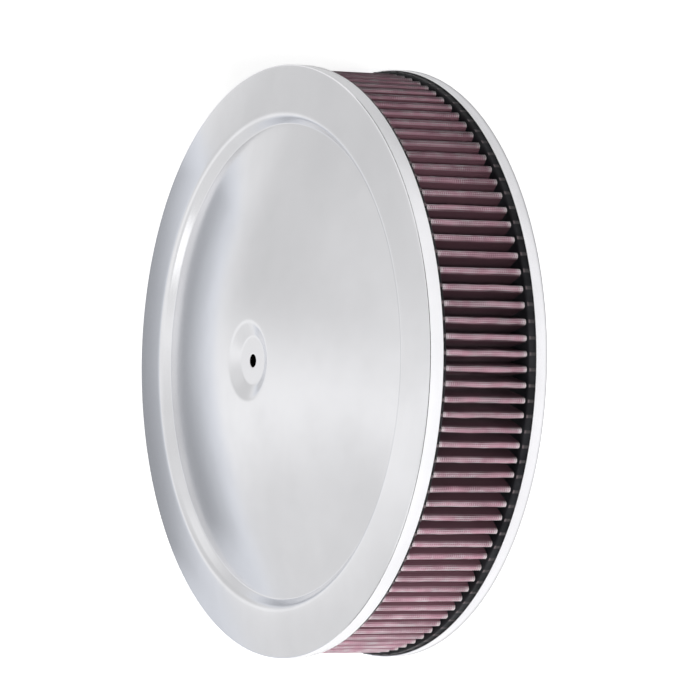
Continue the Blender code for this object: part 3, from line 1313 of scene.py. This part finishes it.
class AIRCLEANER_OT_caps(bpy.types.Operator):
    """Mould both end caps, with the urethane that has climbed the pleats"""

    bl_idname = "air_cleaner.caps"
    bl_label = "End Caps"

    def execute(self, context):
        settings = scene_settings(context)
        caps = settings.caps
        urethane = get_material("moulded_urethane", moulded_urethane, settings)
        shape = PleatShape()
        cap_height = BOTTOM_CAP_HIGH - BOTTOM_CAP_LOW
        rows = (
            ("top_cap", TOP_CAP_LOW, TOP_CAP_HIGH, False, "top_end_cap"),
            ("bottom_cap", BOTTOM_CAP_LOW, BOTTOM_CAP_HIGH, True, "bottom_end_cap"),
        )
        for name, low, inner_high, upwards, node in rows:
            face_height = BOTTOM_CAP_HIGH if upwards else TOP_CAP_LOW
            corners = [
                (CAP_INNER_RADIUS, inner_high, caps.rounding),
                (CAP_RADIUS, low + cap_height, caps.rounding),
                (CAP_RADIUS, low, caps.rounding),
                (CAP_INNER_RADIUS, low, caps.rounding),
            ]
            holder = profile_object(name, rounded(corners, CAP_BEND_STEPS), True)
            turn(holder, 2 * PLEATS)
            ring = plain_mesh(holder, name)
            ring.data.materials.append(urethane)
            collar = pleated(
                collar_pleat(name + "_collar", shape, caps, face_height, upwards),
                name + "_collar",
                settings.pack,
                urethane,
            )
            with context.temp_override(active_object=ring, selected_editable_objects=[ring, collar]):
                bpy.ops.object.join()
            shade(ring, 60.0)
            finish_piece(ring, "urethane", node)
        return {"FINISHED"}


class AIRCLEANER_OT_cotton(bpy.types.Operator):
    """Fold the cotton"""

    bl_idname = "air_cleaner.cotton"
    bl_label = "Cotton"

    def execute(self, context):
        settings = scene_settings(context)
        gauze = get_material("oiled_gauze", oiled_cotton, settings)
        piece = pleated(cotton_pleat("cotton_folds", PleatShape()), "cotton_folds", settings.pack, gauze)
        shade(piece, 60.0)
        finish_piece(piece, "oiled_cotton", "cotton_media")
        return {"FINISHED"}


class AIRCLEANER_OT_screens(bpy.types.Operator):
    """Weave the two wire screens"""

    bl_idname = "air_cleaner.screens"
    bl_label = "Wire Screens"

    def execute(self, context):
        settings = scene_settings(context)
        wire = get_material("woven_wire", woven_wire, settings)
        rows = (
            ("outer_wires", OUTER_SCREEN_FOLD, 3, 0, "outer_screen"),
            ("inner_wires", INNER_SCREEN_FOLD, 1, 1, "inner_screen"),
        )
        for name, fold, outer_steps, inner_steps, node in rows:
            holder = screen_pleat(name, PleatShape(), settings.pack, fold, outer_steps, inner_steps)
            piece = pleated(holder, name, settings.pack, wire)
            piece.data.shade_smooth()
            finish_piece(piece, "screen_wire", node)
        return {"FINISHED"}


def floor_material(settings):
    """Pale floor: white to the camera, greyer to bright metal, with the object's shadow kept.

    The camera sees no glow of it inside the object, and bright metal sees it glow below the pan.
    """
    stage = settings.stage
    material, tree, shader = new_material("pale_floor")
    shader.inputs["Base Color"].default_value = (0.75, 0.75, 0.75, 1.0)
    shader.inputs["Roughness"].default_value = 0.9
    shader.inputs["Emission Color"].default_value = (1.0, 1.0, 1.0, 1.0)
    rays = link_node(tree, "ShaderNodeLightPath").outputs
    place = link_node(tree, "ShaderNodeTexCoord").outputs["Object"]
    radius = link_node(tree, "ShaderNodeVectorMath", {0: place}, operation="LENGTH").outputs["Value"]

    def by_radius(start, end, first, last):
        """A value that changes between two distances from the stud axis, in millimetres."""
        return map_range(tree, radius, start * MM, end * MM, first, last)

    def product(first, second):
        """Output socket of one value times another."""
        return math_node(tree, "MULTIPLY", first, second)

    outside = by_radius(FLOOR_SEEN_START, FLOOR_SEEN_END, 0.0, 1.0)
    clear_of_lid = by_radius(LID_CLEAR_START, LID_CLEAR_END, 0.0, 1.0)
    beyond_neck = by_radius(NECK_RADIUS, NECK_CLEAR_END, 0.0, 1.0)
    within_pan = by_radius(PAN_EDGE_START, PAN_EDGE_END, 1.0, 0.0)
    pan_light = by_radius(PAN_LIGHT_START, PAN_LIGHT_END, PAN_LIGHT_INSIDE, PAN_LIGHT_OUTSIDE)
    below_pan = product(product(pan_light, beyond_neck), within_pan)
    along = link_node(tree, "ShaderNodeVectorMath", {0: place, 1: DIM_WAY}, operation="DOT_PRODUCT")
    dimming = map_range(tree, along.outputs["Value"], DIM_START * MM, DIM_END * MM, 1.0, DIM_LEVEL)
    around = product(product(dimming, stage.floor_mirrored), clear_of_lid)
    mirrored = product(math_node(tree, "ADD", around, below_pan), rays["Is Glossy Ray"])
    seen = product(product(outside, stage.floor_lift), rays["Is Camera Ray"])
    bounced = product(rays["Is Diffuse Ray"], stage.floor_bounce)
    glow = math_node(tree, "ADD", math_node(tree, "ADD", seen, mirrored), bounced)
    tree.links.new(glow, shader.inputs["Emission Strength"])
    beneath = link_node(tree, "ShaderNodeNewGeometry").outputs["Backfacing"]
    hidden = math_node(tree, "MULTIPLY", beneath, rays["Is Camera Ray"])
    clear_pane = link_node(tree, "ShaderNodeBsdfTransparent").outputs[0]
    either = link_node(tree, "ShaderNodeMixShader", {0: hidden, 1: shader.outputs[0], 2: clear_pane})
    tree.links.new(either.outputs[0], tree.nodes["Material Output"].inputs["Surface"])
    return material


def studio_world(settings):
    """Even light from all round, white to the camera and to bright metal."""
    world = bpy.data.worlds.new("studio")
    world.use_nodes = True
    tree = world.node_tree
    background = tree.nodes["Background"]
    background.inputs["Color"].default_value = (1.0, 1.0, 1.0, 1.0)
    rays = link_node(tree, "ShaderNodeLightPath").outputs
    direct = math_node(tree, "MAXIMUM", rays["Is Camera Ray"], rays["Is Glossy Ray"])
    level = map_range(tree, direct, 0.0, 1.0, settings.stage.fill, 1.0)
    tree.links.new(level, background.inputs["Strength"])
    return world


def glow_material(name):
    """A material that only gives light, with its tree, its coordinates and its strength socket."""
    material = bpy.data.materials.new(name)
    material.use_nodes = True
    tree = material.node_tree
    tree.nodes.remove(tree.nodes["Principled BSDF"])
    glow = link_node(tree, "ShaderNodeEmission")
    tree.links.new(glow.outputs[0], tree.nodes["Material Output"].inputs["Surface"])
    parts = link_node(
        tree,
        "ShaderNodeSeparateXYZ",
        {0: link_node(tree, "ShaderNodeTexCoord").outputs["Object"]},
    )
    return material, tree, parts.outputs, glow.inputs["Strength"]


def softbox_material():
    """Softbox over the lid: dimmer at its left, and in a band right of its middle."""
    material, tree, place, strength = glow_material("softbox_cloth")
    band_start = map_range(tree, place["X"], *BAND_LEFT, 0.0, 1.0)
    band_end = map_range(tree, place["X"], *BAND_RIGHT, 1.0, 0.0)
    band = math_node(tree, "MULTIPLY", band_start, band_end)
    shade_low = map_range(tree, place["Z"], *BAND_HEIGHTS, *BAND_SHADES)
    less_high = map_range(tree, place["Z"], *BAND_TOP_HEIGHTS, 0.0, BAND_TOP_LESS)
    shade_up = math_node(tree, "SUBTRACT", shade_low, less_high)
    shaded = math_node(tree, "SUBTRACT", SOFTBOX_LEVEL, math_node(tree, "MULTIPLY", band, shade_up))
    left = map_range(tree, place["X"], *LEFT_SIDE, *LEFT_SIDE_LEVELS)
    tree.links.new(math_node(tree, "MINIMUM", shaded, left), strength)
    return material


def horizon_material():
    """Low grey card behind the lid, which pales upwards and towards both ends."""
    material, tree, place, strength = glow_material("horizon_card")
    left = math_node(tree, "MAXIMUM", math_node(tree, "MINIMUM", place["X"], 0.0), HORIZON_LEVEL_LEFT)
    slant = math_node(tree, "ADD", place["Z"], math_node(tree, "MULTIPLY", left, HORIZON_SLOPE))
    upwards = map_range(
        tree, slant, HORIZON_DARK_HEIGHT, HORIZON_HEIGHT, HORIZON_DARK, HORIZON_PALE
    )
    right = math_node(tree, "ADD", place["X"], place["Z"])
    right_end = map_range(tree, right, HORIZON_DARK_RIGHT, HORIZON_FAR_RIGHT, 0.0, HORIZON_PALE)
    left_end = map_range(
        tree, place["X"], HORIZON_PALE_LEFT, HORIZON_DARK_LEFT, HORIZON_LEFT_PALE, 0.0
    )
    ends = math_node(tree, "MAXIMUM", right_end, left_end)
    tree.links.new(math_node(tree, "MAXIMUM", upwards, ends), strength)
    strength.node.inputs["Color"].default_value = HORIZON_TINT
    return material


def even_material(name, level):
    """Cloth of one brightness: dark for a flag, bright for a lamp's cover."""
    material, tree, place, strength = glow_material(name)
    strength.default_value = level
    return material


def wide_card(half_width, first_edge, second_edge):
    """Corners of a card between two level edges, each given by its depth and height."""
    return [
        (-half_width, *first_edge),
        (half_width, *first_edge),
        (half_width, *second_edge),
        (-half_width, *second_edge),
    ]


def stage_card(name, corners, material):
    """A card that only bright metal mirrors, and that lights and hides nothing else."""
    mesh = bpy.data.meshes.new(name)
    mesh.from_pydata(corners, [], [tuple(range(len(corners)))])
    mesh.materials.append(material)
    card = bpy.data.objects.new(name, mesh)
    bpy.context.scene.collection.objects.link(card)
    card.visible_camera = False
    card.visible_diffuse = False
    card.visible_shadow = False
    card.visible_transmission = False
    return card


def area_lamp(name, place, target, size, power):
    """A large soft lamp that looks at a point."""
    lamp = bpy.data.lights.new(name, "AREA")
    lamp.shape = "RECTANGLE"
    lamp.size = size[0]
    lamp.size_y = size[1]
    lamp.energy = power
    holder = bpy.data.objects.new(name, lamp)
    holder.location = place
    holder.rotation_euler = (Vector(target) - Vector(place)).to_track_quat("-Z", "Y").to_euler()
    holder.visible_glossy = False
    bpy.context.scene.collection.objects.link(holder)
    return holder


def photo_camera():
    """Camera at the photograph's viewing angle, rolled so that the lid faces left."""
    distance = FOCAL_PIXELS / RIM_PIXELS * LID_RADIUS * MM
    rim_centre = Vector((0.0, 0.0, RIM_HEIGHT * MM))
    down = math.sqrt(1.0 - AXIS_TOWARDS_CAMERA ** 2)
    back = Vector((0.0, -down, AXIS_TOWARDS_CAMERA))
    level_up = Vector((0.0, AXIS_TOWARDS_CAMERA, down))
    level_right = Vector((1.0, 0.0, 0.0))
    roll_cosine = math.sqrt(1.0 - ROLL_SINE ** 2)
    right = ROLL_SINE * level_right - roll_cosine * level_up
    up = roll_cosine * level_right + ROLL_SINE * level_up
    aside = (0.5 * PHOTO_PIXELS - RIM_CENTRE_PIXEL[0]) / FOCAL_PIXELS * distance
    above = (RIM_CENTRE_PIXEL[1] - 0.5 * PHOTO_PIXELS) / FOCAL_PIXELS * distance
    camera = bpy.data.cameras.new("photo_camera")
    camera.sensor_width = SENSOR_WIDTH
    camera.lens = FOCAL_PIXELS / PHOTO_PIXELS * SENSOR_WIDTH
    camera.clip_start = 0.1
    camera.clip_end = 50.0
    holder = bpy.data.objects.new("photo_camera", camera)
    turned = Matrix((right, up, back)).transposed().to_4x4()
    place = rim_centre + right * aside + up * above + back * distance
    holder.matrix_world = Matrix.Translation(place) @ turned
    bpy.context.scene.collection.objects.link(holder)
    return holder


class AIRCLEANER_OT_stage(bpy.types.Operator):
    """Set up the floor, the light and the camera"""

    bl_idname = "air_cleaner.stage"
    bl_label = "Studio"

    def execute(self, context):
        settings = scene_settings(context)
        scene = context.scene
        bpy.ops.mesh.primitive_plane_add(size=settings.stage.floor_size)
        floor = context.active_object
        floor.name = "floor"
        floor.data.materials.append(floor_material(settings))
        scene.world = studio_world(settings)
        area_lamp("key_lamp", KEY_LAMP_PLACE, LAMP_TARGET, KEY_LAMP_SIZE, settings.stage.key)
        area_lamp("side_lamp", SIDE_LAMP_PLACE, LAMP_TARGET, SIDE_LAMP_SIZE, settings.stage.side)
        cloth = softbox_material()
        stage_card("softbox", wide_card(SOFTBOX_HALF_WIDTH, SOFTBOX_BEND, SOFTBOX_FOOT), cloth)
        overhead = wide_card(SOFTBOX_HALF_WIDTH, SOFTBOX_FRONT, SOFTBOX_BEND)
        stage_card("overhead_softbox", overhead, cloth)
        left_height = HORIZON_HEIGHT - HORIZON_LEVEL_LEFT * HORIZON_SLOPE
        horizon = [
            (HORIZON_FAR_LEFT, HORIZON_PLACE, 0.0),
            (HORIZON_FAR_RIGHT, HORIZON_PLACE, 0.0),
            (HORIZON_FAR_RIGHT - HORIZON_HEIGHT, HORIZON_PLACE, HORIZON_HEIGHT),
            (0.0, HORIZON_PLACE, HORIZON_HEIGHT),
            (HORIZON_LEVEL_LEFT, HORIZON_PLACE, left_height),
            (HORIZON_FAR_LEFT, HORIZON_PLACE, left_height),
        ]
        stage_card("horizon_card", horizon, horizon_material())
        flag_cloth = even_material("flag_cloth", FLAG_LEVEL)
        flag = wide_card(FLAG_ASIDE, (FLAG_FRONT, 0.0), (FLAG_FRONT, FRONT_FLAG_HEIGHT))
        stage_card("camera_flag", flag, flag_cloth)
        for name, side in (("left_flag", -FLAG_ASIDE), ("right_flag", FLAG_ASIDE)):
            flag = [
                (side, FLAG_FRONT, 0.0),
                (side, SIDE_FLAG_END, 0.0),
                (side, SIDE_FLAG_END, SIDE_FLAG_HEIGHT),
                (side, FLAG_FRONT, SIDE_FLAG_HEIGHT),
            ]
            stage_card(name, flag, flag_cloth)
        stage_card("key_cover", KEY_COVER_CORNERS, even_material("key_cloth", KEY_COVER_LEVEL))
        scene.camera = photo_camera()
        scene.view_settings.view_transform = "Standard"
        return {"FINISHED"}


OPERATORS = (
    AIRCLEANER_OT_lid,
    AIRCLEANER_OT_base,
    AIRCLEANER_OT_gasket,
    AIRCLEANER_OT_caps,
    AIRCLEANER_OT_cotton,
    AIRCLEANER_OT_screens,
    AIRCLEANER_OT_stage,
)


class AirCleanerSettings(bpy.types.PropertyGroup):
    """All settings of the air cleaner and its studio."""

    lid: PointerProperty(type=LidSettings)
    base: PointerProperty(type=BaseSettings)
    caps: PointerProperty(type=CapSettings)
    pack: PointerProperty(type=PackSettings)
    finish: PointerProperty(type=FinishSettings)
    stage: PointerProperty(type=StageSettings)


SETTINGS = (
    LidSettings,
    BaseSettings,
    CapSettings,
    PackSettings,
    FinishSettings,
    StageSettings,
    AirCleanerSettings,
)


class AIRCLEANER_PT_panel(bpy.types.Panel):
    """Lists the pieces in the 3D view's sidebar"""

    bl_idname = "AIRCLEANER_PT_panel"
    bl_label = "Air Cleaner"
    bl_space_type = "VIEW_3D"
    bl_region_type = "UI"
    bl_category = "Air Cleaner"

    def draw(self, context):
        settings = scene_settings(context)
        for group in ("lid", "base", "caps", "pack", "finish", "stage"):
            box = self.layout.box()
            box.label(text=group.title())
            values = getattr(settings, group)
            for name in values.__annotations__:
                box.prop(values, name)
        for operator in OPERATORS:
            self.layout.operator(operator.bl_idname)


def register():
    """Make the settings, operators and panel known to Blender."""
    for kind in (*SETTINGS, *OPERATORS, AIRCLEANER_PT_panel):
        bpy.utils.register_class(kind)
    bpy.types.Scene.air_cleaner = PointerProperty(type=AirCleanerSettings)


def unregister():
    """Remove them again."""
    del bpy.types.Scene.air_cleaner
    for kind in reversed((*SETTINGS, *OPERATORS, AIRCLEANER_PT_panel)):
        bpy.utils.unregister_class(kind)


def main():
    """Build every piece and the studio."""
    register()
    bpy.ops.air_cleaner.lid()
    bpy.ops.air_cleaner.base()
    bpy.ops.air_cleaner.gasket()
    bpy.ops.air_cleaner.caps()
    bpy.ops.air_cleaner.cotton()
    bpy.ops.air_cleaner.screens()
    bpy.ops.air_cleaner.stage()


if __name__ == "__main__":
    main()
